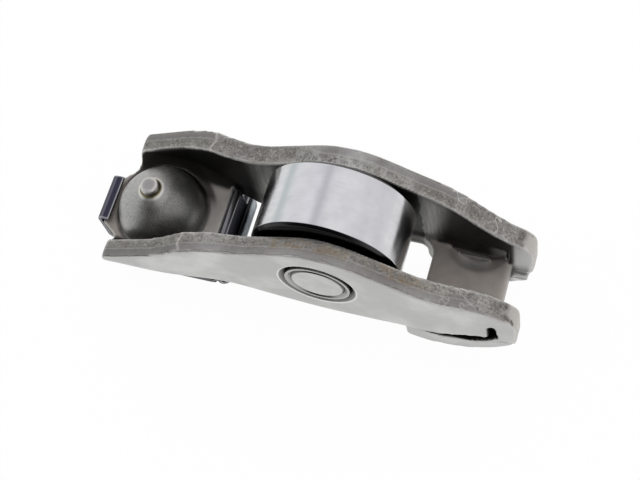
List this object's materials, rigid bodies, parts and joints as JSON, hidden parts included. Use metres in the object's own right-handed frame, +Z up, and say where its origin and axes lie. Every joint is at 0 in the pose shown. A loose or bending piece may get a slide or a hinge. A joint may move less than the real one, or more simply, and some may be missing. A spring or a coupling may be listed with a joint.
{
  "type": "rocker arm",
  "caption": "Roller finger rocker arm: pressed steel channel with a ball socket, a needle bearing cam roller, guide lugs over a valve pad and a spring clip.",
  "frame": {"origin": "centre of the pivot ball in the arm's socket", "axes": "+X from the pivot to the valve end, +Z up towards the cam, +Y across the arm, along the roller's axle"},
  "size_m": [0.0551, 0.0182, 0.023],
  "materials": {
    "pressed_body": "satin grey pressed and hardened steel, darker grainy blanked edges",
    "roller": "ground and polished bearing steel",
    "axle_pin": "turned steel, staked ends",
    "needles": "ground bearing steel",
    "spring_clip": "blue-black tempered spring steel"
  },
  "bodies": {
    "arm": {"body": "pressed_body", "axle_pin": "axle_pin", "retaining_clip": "spring_clip"},
    "roller": {"roller_ring": "roller"},
    "needle_set": {"needle_01": "needles", "needle_02": "needles", "needle_03": "needles", "needle_04": "needles", "needle_05": "needles", "needle_06": "needles", "needle_07": "needles", "needle_08": "needles", "needle_09": "needles", "needle_10": "needles", "needle_11": "needles", "needle_12": "needles", "needle_13": "needles", "needle_14": "needles", "needle_15": "needles", "needle_16": "needles", "needle_17": "needles", "needle_18": "needles"}
  },
  "joints": [
    {"name": "roller_spin", "type": "hinge", "parent": "arm", "child": "roller", "pos_m": [0.0237, 0, 0.0058], "axis": [0, 1, 0], "continuous": true},
    {"name": "needle_orbit", "type": "hinge", "parent": "arm", "child": "needle_set", "pos_m": [0.0237, 0, 0.0058], "axis": [0, 1, 0], "continuous": true}
  ],
  "couplings": [
    {"joint": "needle_orbit", "follows": "roller_spin", "ratio": 0.5895}
  ]
}
